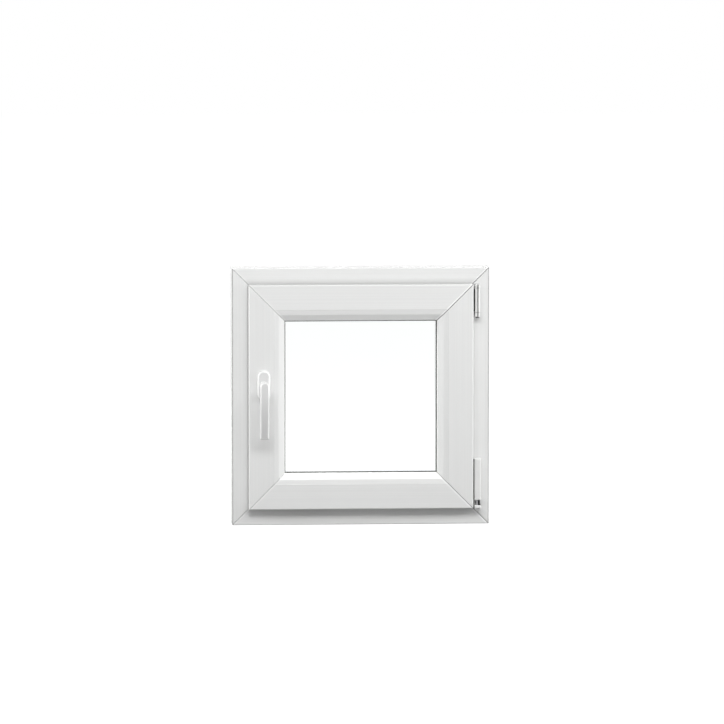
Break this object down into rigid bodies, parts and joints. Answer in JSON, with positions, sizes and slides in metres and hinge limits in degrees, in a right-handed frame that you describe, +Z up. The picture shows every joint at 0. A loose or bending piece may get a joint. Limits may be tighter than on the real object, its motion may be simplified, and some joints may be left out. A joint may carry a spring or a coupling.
{
  "type": "tilt-and-turn window",
  "caption": "Square white plastic tilt-and-turn window with a double-glazed sash, a lever handle on the left stile and covered hinges on the right.",
  "frame": {"origin": "middle of the outer frame's bottom face, half-way through its depth", "axes": "+X to the right seen from the room, +Y outdoors, +Z up; the handle side faces -Y"},
  "size_m": [0.6, 0.147, 0.6],
  "materials": {
    "frame": "semi-gloss white plastic profile",
    "sash": "semi-gloss white plastic profile",
    "bead": "semi-gloss white plastic bead",
    "gasket": "matt sealing rubber",
    "glass": "clear float glass",
    "spacer": "mill aluminium",
    "handle": "white powder coat",
    "hinge_cover": "white cover caps",
    "hinge_metal": "zinc-plated steel",
    "drain_cap": "white plastic"
  },
  "bodies": {
    "window": {"frame_head": "frame", "frame_sill": "frame", "frame_left_jamb": "frame", "frame_right_jamb": "frame", "sash_top_rail": "sash", "sash_bottom_rail": "sash", "sash_lock_stile": "sash", "sash_hinge_stile": "sash", "bead_top": "bead", "bead_bottom": "bead", "bead_left": "bead", "bead_right": "bead", "frame_gasket": "gasket", "sash_gasket": "gasket", "glazing_gasket_room": "gasket", "glazing_gasket_outdoor": "gasket", "glass_room_pane": "glass", "glass_outdoor_pane": "glass", "glass_spacer": "spacer", "handle_rosette": "handle", "top_hinge_barrel": "hinge_cover", "top_hinge_upper_cap": "hinge_cover", "top_hinge_lower_cap": "hinge_cover", "bottom_hinge_cover": "hinge_cover", "bottom_hinge_bearing": "hinge_cover", "top_hinge_bracket": "hinge_metal", "top_hinge_arm": "hinge_metal", "top_hinge_pin": "hinge_metal", "bottom_hinge_pin": "hinge_metal", "bottom_hinge_arm": "hinge_metal", "drain_cap_left": "drain_cap", "drain_cap_right": "drain_cap"},
    "handle": {"handle_lever": "handle"}
  },
  "joints": [
    {"name": "handle_turn", "type": "hinge", "parent": "window", "child": "handle", "pos_m": [-0.2275, -0.067, 0.329], "axis": [0, -1, 0], "range_deg": [0, 180]}
  ]
}
